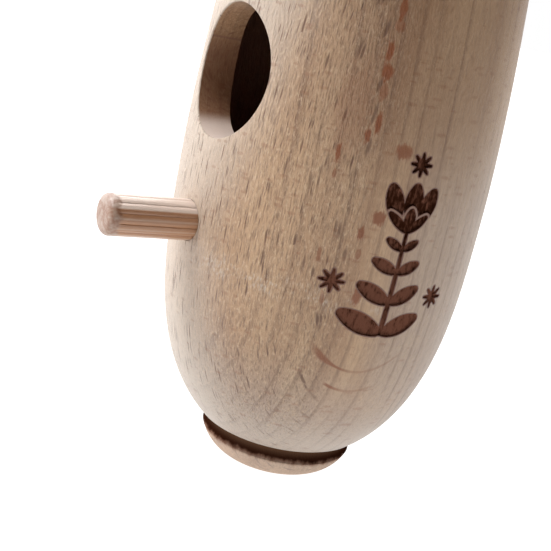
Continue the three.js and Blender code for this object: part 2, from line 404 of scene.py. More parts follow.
def make_body():
    """The body and foot: one skin, fine along the engraving, with the entrance and perch holes cut in it."""
    cells = split_cells()
    around = COLUMNS * FINE
    foot, rim = foot_outline(), rim_outline()
    top = ROWS * FINE
    for ring in range(len(foot)):
        cells += [(i * FINE, -(ring + 1) * FINE, FINE) for i in range(COLUMNS)]
    for ring in range(len(rim)):
        cells += [(i * FINE, top + ring * FINE, FINE) for i in range(COLUMNS)]

    corners = set()
    for i, j, size in cells:
        for a in (i, i + size):
            for b in (j, j + size):
                corners.add((a % around, b))
    corners = sorted(corners)
    index = {corner: k for k, corner in enumerate(corners)}

    grid = np.array(corners, dtype=float)
    azimuth = grid[:, 0] / around * 2 * math.pi
    height = SIDE_BOTTOM + grid[:, 1] / top * (SIDE_TOP - SIDE_BOTTOM)
    height = np.clip(height, SIDE_BOTTOM, SIDE_TOP)
    radius = body_radius(height)
    distance = flower_distance_at(azimuth, height, radius)
    depth = np.clip(-distance / ENGRAVING_WALL, 0, 1)
    radius = radius - ENGRAVING_DEPTH * depth * depth * (3 - 2 * depth)
    for ring, (ring_radius, ring_height) in enumerate(foot[::-1]):
        here = grid[:, 1] == -(ring + 1) * FINE
        radius[here], height[here] = ring_radius, ring_height
    for ring, (ring_radius, ring_height) in enumerate(rim):
        here = grid[:, 1] == top + (ring + 1) * FINE
        radius[here], height[here] = ring_radius, ring_height
    vertices = np.stack([radius * np.sin(azimuth), -radius * np.cos(azimuth), height], axis=1)

    def edge(start, step, size):
        """The corners that lie on one edge of a cell, from its start, without its end."""
        points = []
        for k in range(size):
            key = ((start[0] + step[0] * k) % around, start[1] + step[1] * k)
            if key in index:
                points.append(index[key])
        return points

    faces = []
    for i, j, size in cells:
        face = edge((i, j), (1, 0), size)
        face += edge((i + size, j), (0, 1), size)
        face += edge((i + size, j + size), (-1, 0), size)
        face += edge((i, j + size), (0, -1), size)
        faces.append(face)
    vertices = np.concatenate([vertices, [(0, 0, 0), (0, 0, BORE_FLOOR)]])
    under, floor = len(corners), len(corners) + 1
    lowest, highest = -len(foot) * FINE, top + len(rim) * FINE
    for i in range(0, around, FINE):
        after = (i + FINE) % around
        faces.append((under, index[(after, lowest)], index[(i, lowest)]))
        faces.append((floor, index[(i, highest)], index[(after, highest)]))
    piece = new_object("turned_body", vertices, faces)
    cut(piece, entrance_cutter())
    cut(piece, perch_cutter())
    smooth(piece)
    return piece


def entrance_cutter():
    """Cuts the oval hole through the front wall and rounds its outer lip, which follows the body's side."""
    angles = np.linspace(0, 2 * math.pi, 144, endpoint=False)

    def ring(grow, sink):
        x = (HOLE_HALF_WIDTH + grow) * np.cos(angles)
        z = HOLE_HEIGHT + (HOLE_HALF_HEIGHT + grow) * np.sin(angles)
        y = -np.sqrt(body_radius(z) ** 2 - x**2) + sink
        return list(zip(x, y, z))

    rings = [ring(LIP, -3.0), ring(LIP, -0.02)]
    for turn in np.linspace(0, math.pi / 2, 6)[1:]:
        rings.append(ring(LIP * (1 - math.sin(turn)), LIP * (1 - math.cos(turn))))
    rings.append([(x, -12.0, z) for x, y, z in rings[-1]])
    return tube_along_y("entrance_cutter", [r[::-1] for r in rings])


def perch_cutter():
    """A plain round hole for the dowel."""
    angles = np.linspace(0, 2 * math.pi, 96, endpoint=False)
    inner_end = PERCH_TIP - PERCH_LENGTH - PERCH_HOLE_SPARE
    rings = []
    for out in (BELLY_RADIUS + 4, inner_end):
        ring = [(PERCH_HOLE_RADIUS * math.cos(a), -out, PERCH_HOLE_RADIUS * math.sin(a)) for a in angles]
        rings.append(ring[::-1])
    cutter = tube_along_y("perch_cutter", rings)
    cutter.data.transform(perch_place())
    return cutter


def perch_place():
    return Matrix.Translation((0, 0, PERCH_HEIGHT * MM)) @ Matrix.Rotation(PERCH_AZIMUTH, 4, "Z")


# ---------- perch ----------


def make_perch():
    """A fluted dowel with rounded, slightly rough ends, and its ridges marked by the attribute "crest"."""
    around = FLUTES * POINTS_PER_FLUTE
    angles = np.linspace(0, 2 * math.pi, around, endpoint=False)
    pitch = 2 * math.pi / FLUTES
    across = np.abs((angles - FLUTE_TURN + pitch / 2) % pitch - pitch / 2) * PERCH_RADIUS
    hollow = FLUTE_DEPTH * np.clip(1 - across / FLUTE_HALF_WIDTH, 0, 1)
    line = FLUTE_LINE_DEPTH * np.clip(1 - across / FLUTE_LINE_HALF_WIDTH, 0, 1)
    end = [PERCH_END_RADIUS * share for share in (0.0, 0.1, 0.25, 0.45, 0.7, 1.0)]
    stations = end + list(np.linspace(PERCH_END_RADIUS, PERCH_LENGTH - PERCH_END_RADIUS, PERCH_RINGS)[1:-1])
    stations += [PERCH_LENGTH - value for value in end[::-1]]
    generator = np.random.default_rng(7)
    rings = []
    for station in stations:
        from_end = min(station, PERCH_LENGTH - station)
        share = min(from_end / PERCH_END_RADIUS, 1.0)
        limit = PERCH_RADIUS - PERCH_END_RADIUS * (1 - math.sqrt(1 - (1 - share) ** 2))
        fade = min(max((from_end - PERCH_END_RADIUS) / FLUTE_END, 0.0), 1.0)
        torn = PERCH_END_ROUGHNESS * generator.normal(size=around) * (fade < 1)
        radius = np.minimum(PERCH_RADIUS - fade * (hollow + line), limit) - np.abs(torn)
        out = PERCH_TIP - PERCH_LENGTH + station
        rings.append(list(zip(radius * np.cos(angles), np.full(around, -out), radius * np.sin(angles))))
    piece = tube_along_y("fluted_perch", rings)
    # crest marks the ridges, which dowel_wood paints pale as a highlight
    crest = np.clip((across - across.max()) / CREST_HALF_WIDTH + 1, 0, 1)
    crests = np.tile(crest, len(rings))
    piece.data.attributes.new("crest", "FLOAT", "POINT").data.foreach_set("value", crests)
    piece.data.transform(perch_place())
    smooth(piece, 50)
    return piece


# ---------- roof and knob ----------


def make_roof():
    """A bell-shaped roof with rounded eaves and a spigot that drops into the bore."""
    half = EAVES_THICKNESS / 2
    eaves = arc((EAVES_RADIUS - half, ROOF_UNDERSIDE + half), (half, half), -math.pi / 2, math.pi / 3, 16)
    start = eaves[-1]
    slope = []
    for share in np.linspace(0, 1, 33)[1:]:
        rise = (1 - ROOF_BELL) * share + ROOF_BELL * share**2
        radius = start[0] + (ROOF_SEAT_RADIUS - start[0]) * share
        slope.append((radius, start[1] + (ROOF_SEAT - start[1]) * rise))
    bottom = ROOF_UNDERSIDE - SPIGOT_LENGTH
    outline = [(0, bottom), (SPIGOT_RADIUS - 1, bottom), (SPIGOT_RADIUS, bottom + 1)]
    outline += [(SPIGOT_RADIUS, ROOF_UNDERSIDE), (SPIGOT_RADIUS + 4, ROOF_UNDERSIDE)]
    outline += eaves + slope + [(ROOF_SEAT_RADIUS - 0.4, ROOF_SEAT), (0, ROOF_SEAT)]
    piece = turned("turned_roof", outline, ROOF_SEGMENTS)
    smooth(piece)
    return piece


def make_knob():
    """A round knob on a short neck."""
    centre = KNOB_SEAT + KNOB_NECK_HEIGHT + math.sqrt(KNOB_RADIUS**2 - KNOB_NECK_RADIUS**2)
    ball_start = -math.acos(KNOB_NECK_RADIUS / KNOB_RADIUS)
    outline = [
        (0, KNOB_SEAT),
        (KNOB_NECK_RADIUS + 0.7, KNOB_SEAT),
        (KNOB_NECK_RADIUS + 0.8, KNOB_SEAT + 0.15),
        (KNOB_NECK_RADIUS + 0.3, KNOB_SEAT + 0.9),
    ]
    outline += arc((0, centre), (KNOB_RADIUS, KNOB_RADIUS), ball_start, math.pi / 2, 48)
    piece = turned("turned_knob", outline, KNOB_SEGMENTS)
    smooth(piece)
    return piece


# ---------- materials ----------


class Nodes:
    """A short way to write a material's node tree."""

    def __init__(self, name="", tree=None):
        if tree is None:
            self.material = bpy.data.materials.new(name)
            self.material.use_nodes = True
            tree = self.material.node_tree
        self.tree = tree
        self.tree.nodes.clear()

    def add(self, kind, settings=None, **inputs):
        node = self.tree.nodes.new(kind)
        for key, value in (settings or {}).items():
            setattr(node, key, value)
        for key, value in inputs.items():
            self.put(node.inputs[key.replace("_", " ")], value)
        return node

    def put(self, socket, value):
        if isinstance(value, bpy.types.NodeSocket):
            self.tree.links.new(value, socket)
        else:
            socket.default_value = value

    def math(self, operation, *values, clamp=False):
        node = self.add("ShaderNodeMath", {"operation": operation, "use_clamp": clamp})
        for socket, value in zip(node.inputs, values):
            self.put(socket, value)
        return node.outputs[0]

    def vector(self, operation, *values):
        node = self.add("ShaderNodeVectorMath", {"operation": operation})
        for socket, value in zip(node.inputs, values):
            self.put(socket, value)
        return node.outputs["Value" if operation in ("DOT_PRODUCT", "LENGTH") else "Vector"]

    def ramp(self, value, low, high):
        """0 below low and 1 above high, smooth between. low may be above high."""
        node = self.add("ShaderNodeMapRange", {"interpolation_type": "SMOOTHSTEP"})
        for socket, number in zip(node.inputs, (value, low, high, 0.0, 1.0)):
            self.put(socket, number)
        return node.outputs[0]

    def mix(self, amount, one, other):
        """one where amount is 0 and other where it is 1, as colours."""
        node = self.add("ShaderNodeMix", {"data_type": "RGBA", "blend_type": "MIX"})
        self.put(node.inputs[0], amount)
        self.put(node.inputs[6], one)
        self.put(node.inputs[7], other)
        return node.outputs[2]

    def noise(self, place, detail, roughness):
        node = self.add("ShaderNodeTexNoise", Vector=place, Scale=1.0, Detail=detail, Roughness=roughness)
        return node.outputs["Fac"]

    def cells(self, place):
        """Voronoi: the distance to the nearest cell's middle, and a random number for that cell."""
        node = self.add("ShaderNodeTexVoronoi", Vector=place, Scale=1.0, Randomness=1.0)
        chance = self.add("ShaderNodeSeparateColor", Color=node.outputs["Color"]).outputs[0]
        return node.outputs["Distance"], chance

    def attribute(self, name):
        """A number that the mesh holds for each of its points."""
        return self.add("ShaderNodeAttribute", {"attribute_name": name}).outputs["Fac"]


def colour(red, green, blue):
    """A colour given as on a screen, 0 to 255, as the linear numbers that a shader takes."""
    values = []
    for channel in (red, green, blue):
        share = channel / 255
        values.append(share / 12.92 if share <= 0.04045 else ((share + 0.055) / 1.055) ** 2.4)
    return (*values, 1.0)


# Colours of the wood, as they look on a screen. Some of them also paint sheen, highlights and shade on it
BASE = colour(162, 124, 91)
PALE = colour(190, 155, 120)
BRIGHT = colour(208, 178, 146)
DARK = colour(88, 57, 36)
RED = colour(128, 66, 20)
DASH = colour(98, 62, 38)
SANDED_AND_SHEEN = colour(208, 194, 179)
GREY_SHEEN = colour(174, 158, 146)
DOWEL = colour(168, 118, 83)
DARK_BROWN_AND_SHADE = colour(106, 60, 38)
CHAR = colour(52, 26, 15)
SCORCH = colour(112, 73, 58)
GREY_BROWN = colour(104, 76, 58)
PALE_AND_HIGHLIGHT = colour(226, 208, 196)
SHADE = colour(122, 84, 70)

RAY_AZIMUTH = math.radians(75.5)  # the side of the body where the wood is quarter sawn
ROUGH_AZIMUTH = math.radians(5)  # the side where the tool tore the fibres
TORN_HEIGHTS = (-10.0, 35.0)  # the tearing grows up the body between these heights
SCUFF_HEIGHT = 46.0
SCUFF_REACH = 3.5  # above and below that height

# The body's tints follow the photo's colours. What is wood there and what is light can't be told apart
# The pale side is painted sheen and light, palest towards PALE_AZIMUTH
PALE_AZIMUTH = math.radians(-42)
PALE_WAIST = 50.0  # the height where the pale side is narrowest
PALE_WIDENING = 0.38
PALE_LOW = (22.0, 9.0)  # painted light from the floor: the body grows pale all round between these heights, down to the groove
# The grey side and the grey band low down are a painted sheen
GREY_AZIMUTH = math.radians(115)
GREY_SIDE_HEIGHTS = (85.0, 60.0)
GREY_LOW = (38.0, 14.0)  # and it grows grey all round between these, as a painted sheen
# Painted shade darkens the body between these heights on the quarter-sawn side
PAINTED_SHADE_HEIGHTS = (58.0, 84.0)
GROOVE_HEIGHTS = (20.0, 15.0)  # charred wood above these is the engraving's, and below them the groove's
FOOT_BURN_AZIMUTH = math.radians(50)  # the side where the burn's lower edge is highest
FOOT_BURN_TILT = 0.05
# The hole's wall is painted pale below these heights, a painted highlight on the end grain
HOLE_PAINTED_HIGHLIGHT = (HOLE_HEIGHT - 8.8, HOLE_HEIGHT - 11.2)
# The dowel's upper side is painted pale above these heights, as painted top light
PERCH_TOP_LIGHT_HEIGHTS = (PERCH_HEIGHT + 1.9, PERCH_HEIGHT + 2.3)
PERCH_TIP_COLOUR = (PERCH_TIP - 2.4, PERCH_TIP - 1.4)  # from the axis

# Large flecks that show on the body, seen in the photo. Each place was picked there and worked out
# with the camera above: azimuth in degrees, height, half width, half height, strength
FLECKS = [
    (60, 98, 0.8, 2.2, 0.9),
    (60, 95, 0.9, 1.2, 0.6),
    (58.7, 90.5, 0.7, 1.9, 1.0),
    (59.3, 87.3, 1.1, 1.5, 1.0),
    (59.5, 84, 0.8, 1.6, 0.6),
    (60, 78.5, 0.65, 2.1, 1.0),
    (57.5, 76.3, 0.6, 1.4, 1.0),
    (49.5, 72.2, 0.45, 1.9, 0.9),
    (49.8, 68.7, 0.45, 1.0, 0.65),
    (70.5, 74.6, 1.9, 1.5, 0.85),
    (67.3, 62.3, 1.5, 1.5, 0.9),
    (62.6, 59.2, 0.65, 1.4, 0.9),
    (63.3, 55.3, 0.6, 1.2, 0.6),
    (66.4, 47.5, 1.0, 2.0, 0.9),
    (50.7, 54, 0.45, 1.7, 0.7),
    (55, 45.9, 0.5, 1.4, 0.6),
    (51, 80, 3.5, 9.0, 0.25),
]
# Thin curved flecks below the flower: height at the middle, half width, how much thicker their left end is
SMILES = [(32.2, 10.0, 0.8), (27.8, 5.5, 0.1)]
SMILE_AZIMUTH = math.radians(73.3)
SMILE_CURVE = 0.052


class Wood:
    """Where the wood's structure lies: t across the rays, r across the rings, z along the grain."""

    def __init__(self, nodes, ray_azimuth, offset=(0, 0, 0), upright=True):
        self.nodes = nodes
        position = nodes.add("ShaderNodeTexCoord").outputs["Object"]
        mapping = nodes.add("ShaderNodeMapping", Vector=position, Location=offset, Scale=(1 / MM,) * 3)
        self.place = mapping.outputs[0]
        up, out, side = Vector((0, 0, 1)), outward(ray_azimuth), outward(ray_azimuth - math.pi / 2)
        axes = (out, side, up) if upright else (up, side, out)
        self.t, self.r, self.z = [nodes.vector("DOT_PRODUCT", self.place, tuple(axis)) for axis in axes]

    def stretched(self, t_size, r_size, z_size, shift=0.0):
        """Places for a pattern whose grains have these sizes."""
        node = self.nodes.add("ShaderNodeCombineXYZ")
        for socket, value, size in zip(node.inputs, (self.t, self.r, self.z), (t_size, r_size, z_size)):
            self.nodes.put(socket, self.nodes.math("MULTIPLY_ADD", value, 1 / size, shift))
        return node.outputs[0]

    def noise(self, sizes, shift=0.0, detail=2.0, roughness=0.5):
        return self.nodes.noise(self.stretched(*sizes, shift), detail, roughness)

    def towards(self, azimuth):
        """How far a place lies from the axis in the direction of an azimuth, in millimetres."""
        return self.nodes.vector("DOT_PRODUCT", self.place, tuple(outward(azimuth)))

    def facing(self, azimuth):
        """How squarely a place faces an azimuth: 1 straight on, 0 side on and -1 turned away."""
        level = self.nodes.vector("NORMALIZE", self.nodes.vector("MULTIPLY", self.place, (1, 1, 0)))
        return self.nodes.vector("DOT_PRODUCT", level, tuple(outward(azimuth)))

    def away_from(self, height):
        """How far a place is above or below a height. Only for upright wood, whose z is its height."""
        return self.nodes.math("ABSOLUTE", self.nodes.math("SUBTRACT", self.z, height))

    def rings(self):
        """Growth rings, as thin soft lines that come and go."""
        nodes = self.nodes
        bend = nodes.math("MULTIPLY", nodes.math("MULTIPLY", self.t, self.t), 1 / 160)
        waver = nodes.math("MULTIPLY", self.noise((40, 40, 160), detail=1.0), 4.0)
        depth = nodes.math("ADD", nodes.math("ADD", self.r, bend), waver)
        ring = nodes.math("FRACT", nodes.math("DIVIDE", depth, 2.9))
        late = nodes.math("MULTIPLY", nodes.ramp(ring, 0.6, 0.93), nodes.ramp(ring, 1.0, 0.93))
        return nodes.math("MULTIPLY", late, nodes.ramp(self.noise((8, 4, 50), 3.0), 0.3, 0.65))

    def flecks(self, sizes, shift, most):
        """Rays: thin upright sheets. Short dashes where the wood is flat sawn, wide where quarter sawn."""
        nodes = self.nodes
        distance, chance = nodes.cells(self.stretched(*sizes, shift))
        reach = nodes.math("MULTIPLY_ADD", nodes.math("POWER", chance, 3.0), most, 0.02)
        return nodes.ramp(distance, reach, nodes.math("MULTIPLY", reach, 0.3))


def beech(wood, rough, pale=0.0, grey=0.0):
    """Colour and height, in millimetres, of plain beech.

    rough says where the tool tore its fibres. pale and grey say how far its colour is turned towards
    SANDED_AND_SHEEN, over the streaks, and towards GREY_SHEEN, under them. On the body both paint sheen.
    """
    nodes = wood.nodes
    dashes = nodes.math("MULTIPLY", wood.flecks((0.3, 3.0, 4.0), 17.0, 0.72), rough)
    bars = wood.flecks((1.8, 3.0, 0.9), 5.0, 0.6)
    fibre = wood.noise((0.34, 0.34, 2.6), detail=3.0, roughness=0.7)
    nap = wood.noise((0.45, 0.45, 1.0), 5.0, detail=3.0, roughness=0.65)
    tone = wood.noise((16, 9, 60), 9.0)
    torn = nodes.math("MULTIPLY_ADD", rough, 0.55, 0.45)

    surface = nodes.mix(nodes.ramp(tone, 0.3, 0.7), BASE, PALE)
    # On the body, grey is a painted sheen
    surface = nodes.mix(grey, surface, GREY_SHEEN)
    surface = nodes.mix(nodes.math("MULTIPLY", wood.rings(), 0.45), surface, DASH)
    streaks = nodes.math("MULTIPLY", nodes.ramp(fibre, 0.45, 0.7), 0.6)
    surface = nodes.mix(nodes.math("MULTIPLY", streaks, torn), surface, DARK)
    lights = nodes.math("MULTIPLY", nodes.ramp(nap, 0.48, 0.75), 0.75)
    surface = nodes.mix(nodes.math("MULTIPLY", lights, torn), surface, BRIGHT)
    # On the body, pale is painted sheen and light
    surface = nodes.mix(pale, surface, SANDED_AND_SHEEN)
    surface = nodes.mix(nodes.math("MULTIPLY", dashes, 0.85), surface, DASH)
    surface = nodes.mix(nodes.math("MULTIPLY", bars, 0.3), surface, RED)
    height = nodes.math("ADD", nodes.math("MULTIPLY", fibre, -0.4), nodes.math("MULTIPLY", nap, 0.2))
    height = nodes.math("MULTIPLY", height, torn)
    height = nodes.math("MULTIPLY_ADD", dashes, -0.05, height)
    return surface, height


def finish_wood(nodes, surface, height, roughness=0.45, gloss=0.6, sheen=0.2):
    """The shader: bare sanded wood, with height in millimetres."""
    bump = nodes.add("ShaderNodeBump", Height=height, Strength=1.0, Distance=MM)
    shader = nodes.add("ShaderNodeBsdfPrincipled", Base_Color=surface, Normal=bump.outputs[0])
    shader.inputs["Roughness"].default_value = roughness
    shader.inputs["Specular IOR Level"].default_value = gloss
    shader.inputs["Sheen Weight"].default_value = sheen
    shader.inputs["Sheen Roughness"].default_value = 0.4
    output = nodes.add("ShaderNodeOutputMaterial")
    nodes.tree.links.new(shader.outputs[0], output.inputs[0])
    return nodes.material


def torn_side(wood):
    """1 on the side of the body where the tool tore the fibres, and opposite it, and 0 between.

    It fades towards the lower end, where the surface turns across the grain.
    """
    nodes = wood.nodes
    facing = nodes.math("ABSOLUTE", wood.facing(ROUGH_AZIMUTH))
    return nodes.math("MULTIPLY", nodes.ramp(facing, 0.45, 0.65), nodes.ramp(wood.z, *TORN_HEIGHTS))


def painted_sheen_side(wood):
    """How pale the body is, as painted sheen and light: palest on one side, which is wider near both ends,
    and pale by the groove, where the floor's light is painted.
    """
    nodes = wood.nodes
    from_waist = nodes.math("ABSOLUTE", nodes.math("MULTIPLY_ADD", wood.z, 1 / PALE_WAIST, -1.0))
    reach = nodes.math("MULTIPLY_ADD", from_waist, PALE_WIDENING, wood.facing(PALE_AZIMUTH))
    low = nodes.math("MULTIPLY", nodes.ramp(wood.z, *PALE_LOW), 0.6)
    return nodes.math("MAXIMUM", nodes.ramp(reach, 0.4, 1.0), low)


def grey_sheen_side(wood):
    """How grey the body is, as a painted sheen: low down, where the surface turns across the grain and faces
    the floor, and beyond the flower.
    """
    nodes = wood.nodes
    facing = nodes.ramp(wood.facing(GREY_AZIMUTH), 0.7, 0.9)
    side = nodes.math("MULTIPLY", facing, nodes.ramp(wood.z, *GREY_SIDE_HEIGHTS))
    low = nodes.math("MULTIPLY", nodes.ramp(wood.z, *GREY_LOW), 0.75)
    return nodes.math("MAXIMUM", nodes.math("MULTIPLY", side, 0.5), low)


def painted_shade_high(wood):
    """How much painted shade darkens the body: 1 high on the quarter-sawn side, turned away from the lights,
    and 0 low down and elsewhere.
    """
    nodes = wood.nodes
    facing = nodes.ramp(wood.facing(RAY_AZIMUTH), 0.6, 0.95)
    return nodes.math("MULTIPLY", facing, nodes.ramp(wood.z, *PAINTED_SHADE_HEIGHTS))


def scuffs(wood):
    """Patches of pale specks along a level ring on the front, where the tool caught."""
    nodes = wood.nodes
    specks = nodes.ramp(wood.noise((0.35, 0.35, 0.9), 11.0, detail=3.0), 0.45, 0.65)
    patches = nodes.ramp(wood.noise((5.0, 5.0, 2.0), 13.0), 0.4, 0.6)
    front = nodes.ramp(wood.towards(ROUGH_AZIMUTH), 5, 15)
    ring = nodes.math("MULTIPLY", nodes.ramp(wood.away_from(SCUFF_HEIGHT), SCUFF_REACH, 0.5), front)
    return nodes.math("MULTIPLY", nodes.math("MULTIPLY", specks, patches), ring)


def large_flecks(wood):
    """The flecks placed one by one, as one number."""
    nodes = wood.nodes
    wobble = wood.noise((0.5, 0.5, 1.2), 2.0, detail=3.0, roughness=0.6)
    wobble = nodes.math("MULTIPLY_ADD", wobble, 1.6, 0.25)
    total = 0.0
    for azimuth, height, half_width, half_height, strength in FLECKS:
        turn = math.radians(azimuth)
        centre = outward(turn) * float(body_radius(height)) + Vector((0, 0, height))
        local = nodes.add("ShaderNodeMapping", {"vector_type": "TEXTURE"}, Vector=wood.place)
        local.inputs["Location"].default_value = centre
        local.inputs["Rotation"].default_value = (0, 0, turn)
        local.inputs["Scale"].default_value = (half_width, 8.0, half_height)
        length = nodes.vector("LENGTH", local.outputs[0])
        fleck = nodes.ramp(nodes.math("MULTIPLY", length, wobble), 1.2, 0.6)
        total = nodes.math("MULTIPLY_ADD", fleck, strength, total, clamp=True)
    return total


def smiles(wood):
    """Two long rays that lie along the surface where the body curves under."""
    nodes = wood.nodes
    across = wood.towards(SMILE_AZIMUTH + math.pi / 2)
    front = nodes.ramp(wood.towards(SMILE_AZIMUTH), 10, 15)
    rise = nodes.math("MULTIPLY", nodes.math("MULTIPLY", across, across), SMILE_CURVE)
    total = 0.0
    for middle, half_width, thicker in SMILES:
        above = nodes.math("SUBTRACT", nodes.math("SUBTRACT", wood.z, rise), middle)
        left_end = nodes.ramp(across, half_width * -0.35, half_width * -0.75)
        thick = nodes.math("MULTIPLY_ADD", left_end, thicker, 0.4)
        line = nodes.ramp(nodes.math("DIVIDE", nodes.math("ABSOLUTE", above), thick), 1.0, 0.3)
        reach = nodes.ramp(nodes.math("ABSOLUTE", across), half_width, half_width * 0.75)
        total = nodes.math("MULTIPLY_ADD", nodes.math("MULTIPLY", line, reach), front, total)
    strength = nodes.math("MULTIPLY_ADD", nodes.ramp(across, 0.0, -4.0), 0.5, 0.35)
    return nodes.math("MULTIPLY", total, strength)


def body_wood():
    """The body's outside."""
    nodes = Nodes("body_beech")
    wood = Wood(nodes, RAY_AZIMUTH)
    # Painted sheen on the pale side and painted floor light low down, towards SANDED_AND_SHEEN
    pale = nodes.math("MULTIPLY", painted_sheen_side(wood), 0.7)
    surface, height = beech(wood, torn_side(wood), pale, grey_sheen_side(wood))
    # Painted shade, high on the quarter-sawn side
    surface = nodes.mix(nodes.math("MULTIPLY", painted_shade_high(wood), 0.27), surface, DARK)
    surface = nodes.mix(nodes.math("MULTIPLY", scuffs(wood), 0.5), surface, SANDED_AND_SHEEN)
    surface = nodes.mix(large_flecks(wood), surface, RED)
    surface = nodes.mix(smiles(wood), surface, RED)
    surface = nodes.mix(nodes.ramp(nodes.attribute("engraved"), 0.0, 0.6), surface, SCORCH)
    return finish_wood(nodes, surface, height)


def bore_wood():
    """The bore is rough inside, and painted shade darkens it."""
    nodes = Nodes("bore_beech_painted_shade")
    wood = Wood(nodes, RAY_AZIMUTH)
    surface, height = beech(wood, 1.0)
    # Painted shade darkens the bore
    surface = nodes.mix(0.8, surface, SHADE)
    return finish_wood(nodes, surface, height, roughness=0.8, gloss=0.2, sheen=0.0)


def cut_wood():
    """The wall of the entrance hole: browned above by painted shade, with a thin scratch, and its end grain
    below made pale by a painted highlight.
    """
    nodes = Nodes("cut_beech")
    wood = Wood(nodes, RAY_AZIMUTH)
    surface, height = beech(wood, 0.5)
    # Painted shade on the upper part of the hole's wall
    painted_shade = nodes.ramp(wood.z, SCRATCH_HEIGHT + 3, SCRATCH_HEIGHT - 3)
    surface = nodes.mix(nodes.math("MULTIPLY_ADD", painted_shade, 0.5, 0.1), surface, DARK_BROWN_AND_SHADE)
    scratch = nodes.ramp(wood.away_from(SCRATCH_HEIGHT), 0.3, 0.1)
    surface = nodes.mix(nodes.math("MULTIPLY", scratch, 0.6), surface, SHADE)
    # Painted highlight on the end grain at the bottom of the hole's wall
    painted_highlight = nodes.ramp(wood.z, *HOLE_PAINTED_HIGHLIGHT)
    surface = nodes.mix(nodes.math("MULTIPLY", painted_highlight, 0.8), surface, PALE_AND_HIGHLIGHT)
    return finish_wood(nodes, surface, nodes.math("MULTIPLY", height, 0.3))


def charred_wood():
    """The engraving's pockets, a little paler in their middles, and the burnt groove above the plain foot."""
    nodes = Nodes("charred_beech")
    wood = Wood(nodes, RAY_AZIMUTH)
    surface, height = beech(wood, 1.0)
    mottle = wood.noise((0.7, 0.7, 1.6), 4.0, detail=3.0, roughness=0.6)
    mottle = nodes.math("MULTIPLY_ADD", mottle, 1.3, -0.14)
    leaves = nodes.math("MULTIPLY_ADD", nodes.ramp(nodes.attribute("pocket"), 0.3, 1.0), 0.1, 0.23)
    leaves = nodes.math("MULTIPLY", leaves, nodes.ramp(wood.z, STEM_TOP + 1, STEM_TOP - 8))
    grooved = nodes.ramp(wood.z, *GROOVE_HEIGHTS)
    worn = nodes.math("SUBTRACT", nodes.math("ADD", leaves, mottle), nodes.math("MULTIPLY", grooved, 0.5))
    char = nodes.mix(nodes.ramp(worn, 0.4, 0.85), CHAR, SCORCH)
    # The groove's burn has a clean upper edge, greyer along a band below it, and a ragged lower one
    grey_band = nodes.math("MULTIPLY", nodes.ramp(wood.z, GROOVE_TOP - 3.0, GROOVE_TOP - 0.3), grooved)
    char = nodes.mix(grey_band, char, GREY_BROWN)
    tilt = nodes.math("MULTIPLY", wood.towards(FOOT_BURN_AZIMUTH), -FOOT_BURN_TILT)
    ragged = wood.noise((1.5, 1.5, 2.4), 1.0, detail=4.0, roughness=0.6)
    ragged = nodes.math("MULTIPLY", ragged, 1.6)
    level = nodes.math("ADD", nodes.math("ADD", wood.z, tilt), ragged)
    unburnt = nodes.ramp(level, FOOT_TOP + 0.95, FOOT_TOP + 0.25)
    halo = nodes.math("MULTIPLY", nodes.ramp(level, FOOT_TOP - 0.7, FOOT_TOP + 0.6), 0.8)
    surface = nodes.mix(0.45, surface, PALE_AND_HIGHLIGHT)
    surface = nodes.mix(halo, surface, DARK_BROWN_AND_SHADE)
    surface = nodes.mix(unburnt, char, surface)
    height = nodes.math("MULTIPLY", height, 0.4)
    return finish_wood(nodes, surface, height, roughness=0.8, gloss=0.0, sheen=0.0)


def dowel_wood():
    """The dowel: smooth, with painted light on its upper side, painted highlights along its ridges and a
    burnished, speckled tip.
    """
    nodes = Nodes("dowel_beech")
    wood = Wood(nodes, PERCH_AZIMUTH, upright=False)
    ragged = wood.noise((1.2, 1.2, 2.0), 3.0, detail=3.0)
    ragged = nodes.math("MULTIPLY_ADD", ragged, 3.0, -1.5)
    tip = nodes.ramp(nodes.math("ADD", wood.z, ragged), *PERCH_TIP_COLOUR)
    surface, height = beech(wood, 0.1)
    surface = nodes.mix(0.8, surface, DOWEL)
    # Painted top light on the dowel's upper side
    above = nodes.ramp(wood.t, *PERCH_TOP_LIGHT_HEIGHTS)
    above = nodes.math("MULTIPLY", above, nodes.math("MULTIPLY_ADD", tip, -0.4, 0.85))
    surface = nodes.mix(above, surface, PALE_AND_HIGHLIGHT)
    # Painted highlight along the ridges
    surface = nodes.mix(nodes.math("MULTIPLY", nodes.attribute("crest"), 0.3), surface, SANDED_AND_SHEEN)
    surface = nodes.mix(nodes.math("MULTIPLY", tip, 0.55), surface, DARK_BROWN_AND_SHADE)
    speckles = nodes.ramp(wood.noise((1.0, 1.0, 1.0), 6.0, detail=3.0), 0.35, 0.7)
    speckles = nodes.math("MULTIPLY", tip, nodes.math("MULTIPLY", speckles, 0.35))
    surface = nodes.mix(speckles, surface, SANDED_AND_SHEEN)
    height = nodes.math("MULTIPLY", height, 0.4)
    return finish_wood(nodes, surface, height, roughness=0.35, gloss=0.8)


def lid_wood(name, azimuth, offset):
    """The roof's or the knob's wood: the same beech, with its pattern turned and shifted."""
    nodes = Nodes(name)
    wood = Wood(nodes, azimuth, offset)
    surface, height = beech(wood, 0.35, pale=0.15)
    return finish_wood(nodes, surface, height)


def plain(name, base, roughness, glow):
    """One even colour that can also glow white."""
    nodes = Nodes(name)
    shader = nodes.add("ShaderNodeBsdfPrincipled")
    shader.inputs["Emission Color"].default_value = (1, 1, 1, 1)
    shader.inputs["Emission Strength"].default_value = glow
    shader.inputs["Base Color"].default_value = base
    shader.inputs["Roughness"].default_value = roughness
    output = nodes.add("ShaderNodeOutputMaterial")
    nodes.tree.links.new(shader.outputs[0], output.inputs[0])
    return nodes.material


CHARRED, BORE, HOLE_WALL = 1, 2, 3  # places in the body's list of materials


